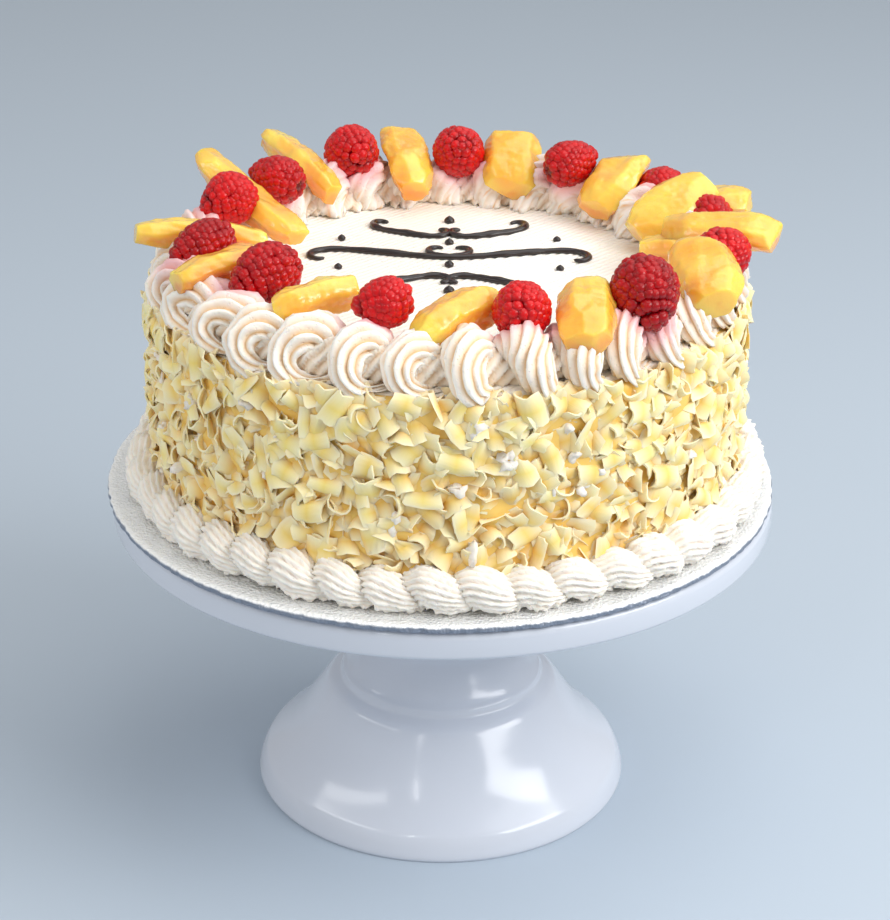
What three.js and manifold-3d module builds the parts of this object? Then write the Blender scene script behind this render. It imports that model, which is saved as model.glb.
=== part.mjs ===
// Fruit gateau on a foil board and a pedestal stand, in millimetres, +Z up, the front towards -Y.
// The origin is on the table, in the middle of the stand's foot. Each piece is one closed solid.
import * as THREE from 'three';
import { mergeVertices } from 'three/addons/utils/BufferGeometryUtils.js';
import Module from 'manifold-3d';

const gap = 0.3;                                    // between a piece and its neighbour
const turn = 2 * Math.PI;

// Stand: a round plate on a bell-shaped foot. The foot's profile, as [radius, height], goes up over a round
// rim, a cone with a shoulder half way, a ring at its top, and a neck that flares under the plate
const foot = { sides: 32, top: 141.5, profile: [[86.5, 0], [87.9, 1.9], [85.4, 9.6], [80.8, 16], [66.9, 30],
  [61.4, 37], [47, 56], [36, 65], [35, 117.5], [50, 135.5], [60, 141.5]] };
const plate = { radius: 151.3, thickness: 13, edgeRound: 4.5, edgeSteps: 2, sides: 44 };
const board = { radius: 152.4, thickness: 2.9, x: -1.2, sides: 48 };

// Cake: a round core, off the stand's axis by cake.x
const cake = { x: 1.3, radius: 131, height: 93, edgeRound: 2, sides: 54 };
const plateBottom = foot.top + gap;
const boardBottom = plateBottom + plate.thickness + gap;
const boardTop = boardBottom + board.thickness;
const cakeBottom = boardTop + gap;
const cakeTop = boardTop + cake.height;

// White chocolate curls pressed into the side
const curl = { count: 91, lowest: 179, highest: 250.6, sheet: 1.3, length: [9.8, 15.6], reach: [3.7, 4.9],
  bite: 1, tilt: 0.35, seed: 11 };
const curlKinds = [
  { share: 0.4, arc: 240, radius: 3.6, steps: 3 },    // a roll
  { share: 0.4, arc: 165, radius: 4.6, steps: 2 },    // half a roll
  { share: 0.2, arc: 95, radius: 6.5, steps: 2 },     // a bent shard
];

// Piped cream: a coiled rope round the top edge, and a ring of shells round the foot of the cake. Each corner
// of a section is a share of the reach, a share of the height and how much of the lean it has
const rope = { count: 33, steps: 5, lean: -0.85, groove: 0.42, uneven: 0.06, seed: 5,
  middle: 118.5, reach: 18.5, bottom: cakeTop + gap, height: 21.4,
  section: [[-0.9, 0, 1], [0.72, 0, 0], [1, 0.24, 0.12], [0.78, 0.8, 0.42], [0.05, 1, 0.7],
    [-0.75, 0.75, 0.95]] };
const shells = { count: 43, steps: 4, lean: 0.45, groove: 0.24, uneven: 0.14, seed: 9,
  middle: cake.radius + gap, reach: 16.3, bottom: boardTop + gap, height: 19,
  section: [[0, 0, 0], [0.86, 0, 0], [1, 0.24, 0.24], [0.7, 0.7, 0.7], [0.08, 1, 1]] };

// Piped chocolate scrolls on the flat top, the right-hand half: the other half is its mirror image. A heading
// turns with a power of the way from the scroll's middle, so a C's ends curl the same way and an S's don't
const scroll = { x: 2, radius: 2, sides: 4, steps: 10, fine: 24, lift: 0.6, power: { c: 3, s: 4 } };
const scrolls = [
  { kind: 'c', x: 21, y: 59, heading: 22, length: 62, curl: 4.3 },
  { kind: 's', x: 27, y: 32, heading: 194, length: 104, curl: -4.6 },
  { kind: 'c', x: 19, y: -1, heading: -25, length: 58, curl: -4.3 },
];
const drop = { squash: 0.8, lift: 0.4 };
const drops = [[0, 77, 2.6], [0, 47, 2.2], [0, 18, 2.2], [0, -15, 2.6], [50, 14, 1.9], [50, 52, 1.9]];

// Raspberries: the middle, the way the tip points, length and width
const raspberries = [
  { at: [-24.8, -96, 277], tip: [-1, -0.15, -0.1], length: 26, width: 20.5 },
  { at: [31, -101, 276], tip: [-0.3, -0.9, 0.25], length: 25, width: 23.5 },
  { at: [82.6, -85, 279], tip: [0.25, -0.75, -0.6], length: 34, width: 28 },
  { at: [119.4, -25, 273.5], tip: [-0.5, -0.3, 0.5], length: 26, width: 24 },
  { at: [103, 76, 268.5], tip: [0.8, 0.5, 0.1], length: 26, width: 21 },
  { at: [59.5, 91.5, 276], tip: [0.85, 0.45, 0.25], length: 28, width: 21 },
  { at: [6.4, 108, 276], tip: [0.1, -0.6, 0.35], length: 25, width: 24 },
  { at: [-44.5, 104, 276], tip: [0.35, -0.7, 0.15], length: 27, width: 25.5 },
  { at: [-79, 69, 274], tip: [-0.85, 0.4, 0.15], length: 28, width: 22 },
  { at: [-98.8, 35.5, 275.5], tip: [-0.75, -0.45, -0.15], length: 28, width: 24 },
  { at: [-104.8, -24, 274.5], tip: [-0.85, -0.45, -0.25], length: 31, width: 21 },
  { at: [-76, -57, 274], tip: [-0.75, -0.5, -0.25], length: 34, width: 25 },
  { at: [122, 42, 267], tip: [0.6, 0.7, 0], length: 23, width: 20 },
];
const berry = { around: 10, rows: 5, bump: 0.12, endRow: 0.6, shoulder: 0.82, fullness: 0.62, hullEnd: 0.9 };

// Peach slices: the middles of the inner and outer ends, width up the slice, thickness, roll about its length
const peaches = [
  { inner: [-35, -71, 275], outer: [-71, -90, 271], width: 17, thick: 15, roll: 10, bow: 2 },
  { inner: [19, -84, 275], outer: [-10, -110, 268], width: 21, thick: 20, roll: 20, bow: 2 },
  { inner: [59, -80, 278], outer: [56.5, -117, 269.5], width: 22, thick: 26, roll: -8, bow: 1 },
  { inner: [107, -34, 279], outer: [113.5, -70, 270], width: 20, thick: 30, roll: 12, bow: 1 },
  { inner: [88, 12, 262], outer: [118, -4, 268], width: 13, thick: 20, roll: 0, bow: 0 },
  { inner: [88, 40, 262], outer: [119, 54, 278], width: 16, thick: 30, roll: 12, bow: 1 },
  { inner: [99, 13, 273], outer: [146, -16, 279], width: 14, thick: 24, roll: 15, bow: 2 },
  { inner: [112, 62, 267], outer: [138, 50, 271], width: 14, thick: 24, roll: 0, bow: 0 },
  { inner: [71, 68, 263], outer: [88, 92, 277], width: 18, thick: 30, roll: -10, bow: 1 },
  { inner: [32, 94, 263], outer: [32, 122, 279], width: 19, thick: 30, roll: -6, bow: 1 },
  { inner: [-14, 92, 263], outer: [-23, 127, 279], width: 18, thick: 25, roll: 14, bow: 1 },
  { inner: [-53, 80, 265], outer: [-85, 122, 278], width: 15, thick: 17, roll: 20, bow: 1 },
  { inner: [-68, 20, 262], outer: [-113, 77, 279], width: 16, thick: 20, roll: 10, bow: -3 },
  { inner: [-77, 4, 268], outer: [-134, -9, 277], width: 14, thick: 17, roll: 8, bow: 2 },
  { inner: [-72, -28, 275], outer: [-112, -55, 272], width: 14, thick: 20, roll: 12, bow: 2 },
];

// A slice's section, as shares of its thickness and width: a narrow pit side below and a rounded back above
const slice = { stations: 6, taper: 0.4, belly: 0.08, bluntness: 0.98, overshoot: 0.12,
  section: [[-0.5, 0.05], [-0.3, 0.42], [0.3, 0.42], [0.5, 0.05], [0.2, -0.5], [-0.2, -0.5]] };

function paint(color, roughness, metalness = 0) {
  return new THREE.MeshStandardMaterial({ color, roughness, metalness });
}

const look = {
  enamel: paint('#e8ebf1', 0.18),
  foil: paint('#b9bcc0', 0.35, 0.9),
  cream: paint('#f7efe4', 0.6),
  curls: paint('#f0e3ae', 0.5),
  raspberry: paint('#b8182c', 0.3),
  peach: paint('#fbc94a', 0.3),
};

const wasm = await Module();
wasm.setup();

// A closed geometry as a solid that can be joined and cut
function toSolid(geometry) {
  const bare = geometry.clone();
  bare.deleteAttribute('normal');
  bare.deleteAttribute('uv');
  const merged = mergeVertices(bare, 1e-4);
  return new wasm.Manifold(new wasm.Mesh({
    numProp: 3,
    vertProperties: new Float32Array(merged.attributes.position.array),
    triVerts: new Uint32Array(merged.index.array),
  }));
}

function toGeometry(solid) {
  const mesh = solid.getMesh();
  const geometry = new THREE.BufferGeometry();
  geometry.setAttribute('position', new THREE.BufferAttribute(new Float32Array(mesh.vertProperties), 3));
  geometry.setIndex(new THREE.BufferAttribute(new Uint32Array(mesh.triVerts), 1));
  return geometry;
}

// The biggest of the separate bodies in a solid, without the crumbs that a cut leaves
function biggestBody(solid) {
  return solid.decompose().sort((a, b) => b.volume() - a.volume())[0];
}

// Even but repeatable random numbers from 0 to 1, by a linear congruential generator
function randomFrom(seed) {
  const [factor, step, size] = [1664525, 1013904223, 2 ** 32];
  let state = seed;
  return () => {
    state = (state * factor + step) % size;
    return state / size;
  };
}

const { degToRad, euclideanModulo } = THREE.MathUtils;
const between = ([low, high], share) => low + (high - low) * share;
const onCircle = (radius, angle) => new THREE.Vector2(radius * Math.cos(angle), radius * Math.sin(angle));

// A closed surface from rings of points: capped at two end points, or else with its rings in a loop
function surfaceFromRings(rings, ends) {
  const perRing = rings[0].length;
  const points = rings.flat();
  const faces = [];
  for (let i = 0; i < (ends ? rings.length - 1 : rings.length); i++) {
    for (let j = 0; j < perRing; j++) {
      const here = i * perRing;
      const next = (i + 1) % rings.length * perRing;
      const beside = (j + 1) % perRing;
      faces.push(here + j, next + j, next + beside, here + j, next + beside, here + beside);
    }
  }
  if (ends) {
    const first = points.push(ends[0]) - 1;
    const last = points.push(ends[1]) - 1;
    const lastRing = (rings.length - 1) * perRing;
    for (let j = 0; j < perRing; j++) {
      const beside = (j + 1) % perRing;
      faces.push(first, j, beside, last, lastRing + beside, lastRing + j);
    }
  }
  const geometry = new THREE.BufferGeometry();
  geometry.setAttribute('position', new THREE.Float32BufferAttribute(points.flat(), 3));
  geometry.setIndex(faces);
  return geometry;
}

// A profile of [radius, height] pairs turned round the upright axis
function turned(profile, sides) {
  const geometry = new THREE.LatheGeometry(profile.map(([r, z]) => new THREE.Vector2(r, z)), sides);
  return geometry.rotateX(Math.PI / 2);
}

// Points of a quarter round from one corner of a profile to the next
function cornerArc(centreR, centreZ, radius, from, to, steps) {
  return Array.from({ length: steps + 1 }, (_, i) => {
    const angle = degToRad(from + (to - from) * i / steps);
    return [centreR + radius * Math.cos(angle), centreZ + radius * Math.sin(angle)];
  });
}

function makeFoot() {
  return turned([[0, 0], ...foot.profile, [0, foot.top]], foot.sides);
}

// Plate: a flat disc whose edge is rounded above and below
function makePlate() {
  const { radius, thickness, edgeRound, edgeSteps } = plate;
  const middle = radius - edgeRound;
  return turned([
    [0, 0], ...cornerArc(middle, edgeRound, edgeRound, -90, 0, edgeSteps),
    ...cornerArc(middle, thickness - edgeRound, edgeRound, 0, 90, edgeSteps), [0, thickness]], plate.sides)
    .translate(0, 0, plateBottom);
}

function makeBoard() {
  const { radius, thickness } = board;
  return turned([[0, 0], [radius, 0], [radius, thickness], [0, thickness]], board.sides)
    .translate(board.x, 0, boardBottom);
}

// One curl: a sheet rolled through part of a circle, its length along Z, its back towards +X
function makeCurl({ arc, radius, steps }, length) {
  const angles = Array.from({ length: steps + 1 }, (_, i) => degToRad(arc) * (i / steps - 0.5));
  const back = angles.map((angle) => onCircle(radius, angle));
  const hollow = angles.reverse().map((angle) => onCircle(radius - curl.sheet, angle));
  const section = new THREE.Shape([...back, ...hollow]);
  return new THREE.ExtrudeGeometry(section, { depth: length, bevelEnabled: false })
    .translate(0, 0, -length / 2);
}

// The curls lie on the side at all angles, spread evenly by the golden angle, their inner edges in the cream
function makeCurls() {
  const random = randomFrom(curl.seed);
  const goldenAngle = Math.PI * (3 - Math.sqrt(5));
  return Array.from({ length: curl.count }, (_, i) => {
    let pick = random();
    const kind = curlKinds.find(({ share }) => (pick -= share) < 0) ?? curlKinds.at(-1);
    const geometry = makeCurl(kind, between(curl.length, random()));
    geometry.rotateZ(turn * random());
    geometry.rotateY(between([-curl.tilt, curl.tilt], random()));
    geometry.rotateX(turn * random());
    geometry.computeBoundingBox();
    const { min, max } = geometry.boundingBox;
    const reach = Math.min(between(curl.reach, random()), max.x - min.x - curl.bite);
    const low = curl.lowest - min.z;
    const high = curl.highest - max.z;
    geometry.translate(cake.radius + reach - max.x, 0, low + (high - low) * (i + 0.5) / curl.count);
    return toSolid(geometry.rotateZ(i * goldenAngle).translate(cake.x, 0, 0));
  });
}

// Core with its curls and scrolls
function makeCake() {
  const { radius, edgeRound } = cake;
  const core = turned([[0, cakeBottom], [radius, cakeBottom], [radius, cakeTop - edgeRound],
    [radius - edgeRound, cakeTop], [0, cakeTop]], cake.sides).translate(cake.x, 0, 0);
  return toGeometry(biggestBody(wasm.Manifold.union([toSolid(core), ...makeCurls(), ...makeOrnament()])));
}

// A scroll's path, walked in fine steps from its middle to both ends
function scrollPath({ kind, x, y, heading, length, curl: tightness }) {
  const { fine, steps, power } = scroll;
  const start = new THREE.Vector3(scroll.x + x, y, cakeTop + scroll.lift);
  const half = (side) => {
    const points = [];
    const point = start.clone();
    for (let i = 0; i < steps / 2 * fine; i++) {
      const share = side * (i + 0.5) / (steps / 2 * fine);
      const angle = degToRad(heading) + tightness * share ** power[kind];
      const step = side * length / steps / fine;
      point.add(new THREE.Vector3(step * Math.cos(angle), step * Math.sin(angle), 0));
      if ((i + 1) % fine === 0) points.push(point.clone());
    }
    return points;
  };
  return [...half(-1).reverse(), start, ...half(1)];
}

function makeScroll(stroke) {
  const { radius, sides, steps } = scroll;
  const extrudePath = new THREE.CatmullRomCurve3(scrollPath(stroke));
  const section = new THREE.Shape(Array.from({ length: sides }, (_, i) => onCircle(radius, turn * i / sides)));
  return toSolid(new THREE.ExtrudeGeometry(section, { extrudePath, steps, bevelEnabled: false }));
}

const mirrored = (stroke) => ({ ...stroke, x: -stroke.x, heading: 180 - stroke.heading, curl: -stroke.curl });

function makeDrop(x, y, radius) {
  return toSolid(new THREE.OctahedronGeometry(radius, 0).scale(1, 1, drop.squash)
    .translate(scroll.x + x, y, cakeTop + drop.lift));
}

function makeOrnament() {
  const dots = drops.flatMap(([x, y, radius]) =>
    (x ? [x, -x] : [0]).map((side) => makeDrop(side, y, radius)));
  return [...scrolls, ...scrolls.map(mirrored)].map(makeScroll).concat(dots);
}

// How far a bulge of piped cream stands out at a share of the way across it: nearly half an ellipse, so that
// the groove between two bulges isn't a crack
const roundness = 0.96;
const swell = (across, groove) => 1 - groove * (1 - Math.sqrt(1 - roundness * (2 * across - 1) ** 2));

// A ring of piped cream round the cake: a function gives its size at each angle and corner of its section
function pipedRing({ middle, reach, bottom, height, section }, steps, sizeAt) {
  return surfaceFromRings(Array.from({ length: steps }, (_, i) => {
    const angle = turn * i / steps;
    return section.map(([out, up, lag]) => {
      const size = sizeAt(i / steps, lag);
      const r = middle + reach * out * size;
      return [cake.x + r * Math.cos(angle), r * Math.sin(angle), bottom + height * up * size];
    });
  }));
}

// Cream piped in a ring of bulges, each a little bigger or smaller than the next, and all leaning one way
function makePiping(piping) {
  const { count, steps, lean, groove, uneven, seed } = piping;
  const random = randomFrom(seed);
  const sizes = Array.from({ length: count }, () => 1 - uneven * random());
  return pipedRing(piping, count * steps, (share, lag) => {
    const phase = euclideanModulo(count * share + lean * lag, count);
    return swell(phase % 1, groove) * sizes[Math.floor(phase)];
  });
}

// The room that the rope fills, over its bulges, which is taken out of the fruit that sits on it
const ropeRoom = () => toSolid(pipedRing(rope, rope.count, () => 1 + gap / rope.reach));

// A frame of three directions whose X runs along the given one
function alongFrame(direction, roll) {
  const x = new THREE.Vector3(...direction).normalize();
  const y = new THREE.Vector3(0, 0, 1).cross(x).normalize();
  const z = new THREE.Vector3().crossVectors(x, y);
  const frame = new THREE.Matrix4().makeBasis(x, y, z);
  return frame.multiply(new THREE.Matrix4().makeRotationX(degToRad(roll)));
}

// Raspberry: a blunt cone whose rows of drupelets stand out in turn, its tip along X
function makeRaspberry({ at, tip, length, width }, grow = 0) {
  const { around, rows, bump, endRow, shoulder, fullness, hullEnd } = berry;
  const rings = Array.from({ length: rows }, (_, i) => {
    const t = (i + endRow) / (rows - 1 + 2 * endRow);
    const profile = Math.sin(Math.PI * t ** shoulder) ** fullness;
    return Array.from({ length: around }, (_, j) => {
      const lump = grow ? 1 : 1 - bump * (1 + (-1) ** (i + j)) / 2;
      const angle = -turn * j / around;
      const r = width / 2 * profile * lump + grow;
      return [(length + 2 * grow) * (t - 0.5), r * Math.cos(angle), r * Math.sin(angle)];
    });
  });
  const half = length / 2 + grow;
  return surfaceFromRings(rings, [[-hullEnd * half, 0, 0], [half, 0, 0]])
    .applyMatrix4(alongFrame(tip, 0)).translate(...at);
}

// Peach slice: a bowed wedge, rounded outside and cut flat on two sides, with blunt ends
function makePeach({ inner, outer, width, thick, roll, bow }, grow = 0) {
  const from = new THREE.Vector3(...inner);
  const to = new THREE.Vector3(...outer);
  const half = from.distanceTo(to) / 2 + slice.overshoot * thick;
  const rings = Array.from({ length: slice.stations }, (_, i) => {
    const t = (2 * i + 1) / slice.stations - 1;
    const size = 1 - slice.taper * t ** 4 - slice.belly * t * t;
    return slice.section.map(([across, up]) => [
      half * t, size * across * thick + Math.sign(across) * grow,
      size * up * width + Math.sign(up) * grow - bow * t * t]);
  });
  const end = half * slice.bluntness + grow;
  return surfaceFromRings(rings, [[-end, 0, -bow], [end, 0, -bow]])
    .applyMatrix4(alongFrame(to.clone().sub(from).toArray(), roll))
    .translate(...from.add(to).multiplyScalar(0.5).toArray());
}

// Fruit on the rope, each piece clear of the rope and of the pieces before it
function makeFruit() {
  const taken = [ropeRoom()];
  const seat = (whole, room) => {
    const cut = taken.reduce((solid, other) => solid.subtract(other), toSolid(whole));
    taken.push(toSolid(room));
    return toGeometry(biggestBody(cut));
  };
  return {
    raspberry: raspberries.map((one) => seat(makeRaspberry(one), makeRaspberry(one, gap))),
    peach: peaches.map((one) => seat(makePeach(one), makePeach(one, gap))),
  };
}

const gateau = new THREE.Group();

function add(name, material, geometry) {
  const mesh = new THREE.Mesh(geometry, material);
  mesh.name = name;
  gateau.add(mesh);
}

add('stand_foot', look.enamel, makeFoot());
add('stand_plate', look.enamel, makePlate());
add('cake_board', look.foil, makeBoard());
add('cake_body', look.curls, makeCake());
add('base_border', look.cream, makePiping(shells));
add('top_border', look.cream, makePiping(rope));
for (const [kind, pieces] of Object.entries(makeFruit())) {
  pieces.forEach((piece, i) => add(`${kind}_${String(i + 1).padStart(2, '0')}`, look[kind], piece));
}

export default gateau;
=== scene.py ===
import bpy
import numpy as np
from mathutils import Matrix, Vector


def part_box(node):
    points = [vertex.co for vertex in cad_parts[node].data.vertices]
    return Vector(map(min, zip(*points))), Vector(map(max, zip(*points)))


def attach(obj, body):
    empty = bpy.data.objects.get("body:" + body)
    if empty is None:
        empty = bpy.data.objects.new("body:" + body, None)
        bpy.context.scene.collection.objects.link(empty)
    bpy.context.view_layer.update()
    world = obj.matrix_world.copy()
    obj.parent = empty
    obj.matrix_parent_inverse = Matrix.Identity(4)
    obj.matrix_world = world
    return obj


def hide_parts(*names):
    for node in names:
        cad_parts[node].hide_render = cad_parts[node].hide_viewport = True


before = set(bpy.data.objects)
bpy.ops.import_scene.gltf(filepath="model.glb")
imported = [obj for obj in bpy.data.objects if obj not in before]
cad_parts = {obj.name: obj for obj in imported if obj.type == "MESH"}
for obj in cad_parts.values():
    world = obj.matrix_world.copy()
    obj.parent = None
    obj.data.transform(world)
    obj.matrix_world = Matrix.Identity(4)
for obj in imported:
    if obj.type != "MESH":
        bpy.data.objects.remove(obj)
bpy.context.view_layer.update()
print("frame loaded,", len(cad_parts), "nodes")

mm = 0.001
turn = 2 * np.pi
gap = 0.3                                             # between a piece and what it stands on
cakeX = 1.3                                           # the cake stands this far off the stand's axis
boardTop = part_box("cake_board")[1].z / mm
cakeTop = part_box("top_border")[0].z / mm - gap


def gridFaces(rows, columns, wrap=True):
    # A quad between every four neighbours of a grid of points; wrap joins the last column to the first
    row = np.arange(rows - 1)[:, None] * columns
    column = np.arange(columns if wrap else columns - 1)[None, :]
    beside = (column + 1) % columns
    corners = [row + column, row + beside, row + columns + beside, row + columns + column]
    return np.stack(corners, -1).reshape(-1, 4)


def repeatFaces(faces, copies, size):
    # The same faces for each of several copies of size points
    return (np.arange(copies)[:, None, None] * size + faces).reshape(-1, faces.shape[1])


def closedTubes(grid):
    # Tubes from points (copies, along, round, 3), each end closed by a point in the middle of its last
    # ring
    copies, rows, columns = grid.shape[:3]
    points = np.concatenate([grid.reshape(copies, -1, 3), grid[:, [0, -1]].mean(2)], 1)
    size = points.shape[1]
    column = np.arange(columns)
    beside = (column + 1) % columns
    last = (rows - 1) * columns
    start = np.stack([np.full(columns, size - 2), beside, column], 1)
    end = np.stack([np.full(columns, size - 1), last + column, last + beside], 1)
    quads = repeatFaces(gridFaces(rows, columns), copies, size)
    caps = repeatFaces(np.concatenate([start, end]), copies, size)
    return points.reshape(-1, 3), [quads, caps]


def capped(values, copies=1, caps=(0, 0)):
    # A value for every point of such tubes, with those of the two points that close each
    return np.concatenate([values.reshape(copies, -1), np.tile(caps, (copies, 1))], 1)


def joinParts(*parts):
    # Several pairs of points and face arrays as one pair
    starts = np.cumsum([0] + [len(points) for points, faces in parts])
    faces = [some + start for (points, sets), start in zip(parts, starts) for some in sets]
    return np.concatenate([points for points, sets in parts]), faces


def makePiece(name, part, look, nodes, values={}, sharpAngle=None):
    # A piece from points and face arrays; each of values is one number, or one for every point
    points, faceSets = part
    material, slot = look
    mesh = bpy.data.meshes.new(name)
    corners = np.concatenate([faces.ravel() for faces in faceSets])
    sizes = np.concatenate([np.full(len(faces), faces.shape[1]) for faces in faceSets])
    mesh.vertices.add(len(points))
    mesh.vertices.foreach_set("co", (points * mm).ravel())
    mesh.loops.add(len(corners))
    mesh.loops.foreach_set("vertex_index", corners)
    mesh.polygons.add(len(sizes))
    mesh.polygons.foreach_set("loop_start", np.cumsum(sizes) - sizes)
    mesh.polygons.foreach_set("use_smooth", np.ones(len(sizes), bool))
    for key, numbers in values.items():
        numbers = np.ravel(numbers) * np.ones(len(points))
        mesh.attributes.new(key, "FLOAT", "POINT").data.foreach_set("value", numbers)
    mesh.update(calc_edges=True)
    if sharpAngle:
        mesh.set_sharp_from_angle(angle=np.radians(sharpAngle))
    mesh.materials.append(material)
    piece = bpy.data.objects.new(name, mesh)
    bpy.context.scene.collection.objects.link(piece)
    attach(piece, "root")
    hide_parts(*nodes)


def tableOf(keys, *rows):
    # The rows as dictionaries with these keys
    return [dict(zip(keys.split(), row)) for row in rows]


def ripples(points, size, seed, waves=14):
    # Uneven ground from about -1 to 1: a sum of plane waves in random directions, each about size mm long
    random = np.random.default_rng(seed)
    heading = random.normal(size=(waves, 3))
    heading /= np.linalg.norm(heading, axis=1, keepdims=True) * size * random.uniform(0.7, 1.6, (waves, 1))
    return np.sin(points @ heading.T * turn + random.uniform(0, turn, waves)).sum(-1) * np.sqrt(2 / waves)


def roughness(points, *layers):
    # Several such ripples over each other, each with its height in mm, its size and its seed
    return sum(height * ripples(points, size, seed) for height, size, seed in layers)


def smoothLine(knots, steps):
    # A Catmull-Rom curve through the knots, with this many steps from one to the next
    knots = np.asarray(knots, float)
    ends = np.concatenate([[2 * knots[0] - knots[1]], knots, [2 * knots[-1] - knots[-2]]])
    before, here, there, after = ends[:-3, None], ends[1:-2, None], ends[2:-1, None], ends[3:, None]
    t = (np.arange(steps) / steps)[None, :, None]
    line = here + 0.5 * t * (there - before + t * (2 * before - 5 * here + 4 * there - after
                                                   + t * (3 * here - before - 3 * there + after)))
    return np.concatenate([line.reshape(-1, knots.shape[1]), knots[-1:]])


def lathe(profile, sides, x=0.0):
    # A profile of [radius, height], from the axis below to the one above, turned round the upright at x
    profile = np.asarray(profile, float)
    angle = circle(sides)
    return np.stack([x + profile[:, :1] * np.cos(angle), profile[:, :1] * np.sin(angle),
                     np.repeat(profile[:, 1:], sides, 1)], -1)


def cornerArc(centreR, centreZ, radius, start, end, steps):
    # Part of a circle in such a profile, from one angle to another in degrees
    angle = np.radians(np.linspace(start, end, steps))
    return np.stack([centreR + radius * np.cos(angle), centreZ + radius * np.sin(angle)], 1)


def rotations(axis, angle):
    # Turns about X (0), Y (1) or Z (2), one for each angle
    turned = np.zeros((len(angle), 3, 3))
    a, b = (axis + 1) % 3, (axis + 2) % 3
    turned[:, axis, axis] = 1
    turned[:, a, a] = turned[:, b, b] = np.cos(angle)
    turned[:, b, a] = np.sin(angle)
    turned[:, a, b] = -np.sin(angle)
    return turned


def circle(count):
    # This many even angles round a circle
    return turn * np.arange(count) / count


def fromAxis(points):
    # How far each point is from the upright axis
    return np.hypot(points[..., 0], points[..., 1])


def unit(vectors):
    # The same directions, each of length 1
    return vectors / np.linalg.norm(vectors, axis=-1, keepdims=True)


def squareTo(ahead, outward):
    # The direction at right angles to ahead that is nearest to outward
    return unit(outward - (outward * ahead).sum(-1, keepdims=True) * ahead)


def movedOut(points, middles, distance):
    # The points moved away from their middles by a distance
    return points + unit(points - middles) * distance[..., None]


def linear(hexColour):
    # An sRGB hex colour turned to linear light
    value = np.array([int(hexColour[i:i + 2], 16) for i in (1, 3, 5)]) / 255
    return (*np.where(value <= 0.04045, value / 12.92, ((value + 0.055) / 1.055) ** 2.4), 1.0)


def setNode(tree, node, settings):
    # A node's properties, and what its sockets take: a number, a colour or another node's output
    for key, value in settings.items():
        if isinstance(key, str) and hasattr(node, key):
            setattr(node, key, value)
        elif isinstance(value, bpy.types.NodeSocket):
            tree.links.new(value, node.inputs[key])
        else:
            node.inputs[key].default_value = linear(value) if isinstance(value, str) else value


def addNode(tree, kind, output, settings={}):
    # A shader node with its settings and links; what comes back is the output that is used
    node = tree.nodes.new("ShaderNode" + kind)
    setNode(tree, node, settings)
    return node.outputs[output]


def startMaterial(name, settings):
    # A material with its shader's own settings, and the place of each point on its piece
    material = bpy.data.materials.new(name)
    material.use_nodes = True
    tree = material.node_tree
    shader = tree.nodes["Principled BSDF"]
    setNode(tree, shader, settings)
    return material, tree, shader, addNode(tree, "TexCoord", "Object")


def mouldedMelamine():
    # Melamine, compression moulded: cold white and hard, with a gloss that only wavers a little
    material, tree, shader, where = startMaterial("mouldedMelamine", {
        "Base Color": "#ccd1db", "Roughness": 0.17, "IOR": 1.52, "Coat Weight": 0.25,
        "Coat Roughness": 0.09})
    waver = addNode(tree, "TexNoise", "Fac", {"Vector": where, "Scale": 1 / (35 * mm), "Detail": 1.0})
    bump = addNode(tree, "Bump", "Normal", {"Height": waver, "Strength": 0.25, "Distance": 0.4 * mm})
    setNode(tree, shader, {"Normal": bump})
    return material


def embossedFoil():
    # Aluminium foil over card: a pressed grain of under 1 mm, drawn a little coarser, breaks up its mirror,
    # its edge is creased and painted darker as shade, and the fold along the top of that edge is painted
    # white and without metal as a highlight
    material, tree, shader, where = startMaterial("embossedFoil", {})
    grain = addNode(tree, "TexVoronoi", "Distance", {"Vector": where, "Scale": 1 / (1.4 * mm)})
    crease = addNode(tree, "TexNoise", "Fac", {
        "Vector": where, "Scale": 1 / (6 * mm), "Detail": 3.0, "Distortion": 1.2})
    height = addNode(tree, "Math", 0, {"operation": "MULTIPLY_ADD", 0: crease, 1: 0.5, 2: grain})
    bump = addNode(tree, "Bump", "Normal", {"Height": height, "Strength": 1.0, "Distance": 0.6 * mm})
    # painted shade: the band of the edge is darker
    edgeShade = addNode(tree, "Attribute", "Fac", {"attribute_name": "edgeShade"})
    colour = addNode(tree, "Mix", 2, {"data_type": "RGBA", 0: edgeShade, 6: "#fafcfd", 7: "#8b94a4"})
    rough = addNode(tree, "MapRange", 0, {"Value": crease, "To Min": 0.3, "To Max": 0.5})
    # painted highlight: the fold loses its metal and shows diffuse white
    foldHighlight = addNode(tree, "Attribute", "Fac", {"attribute_name": "foldHighlight"})
    metalOffAtFold = addNode(tree, "Math", 0, {"operation": "MULTIPLY_ADD", 0: foldHighlight, 1: -0.5, 2: 0.5})
    setNode(tree, shader, {"Normal": bump, "Base Color": colour, "Roughness": rough, "Metallic": metalOffAtFold})
    return material


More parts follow.
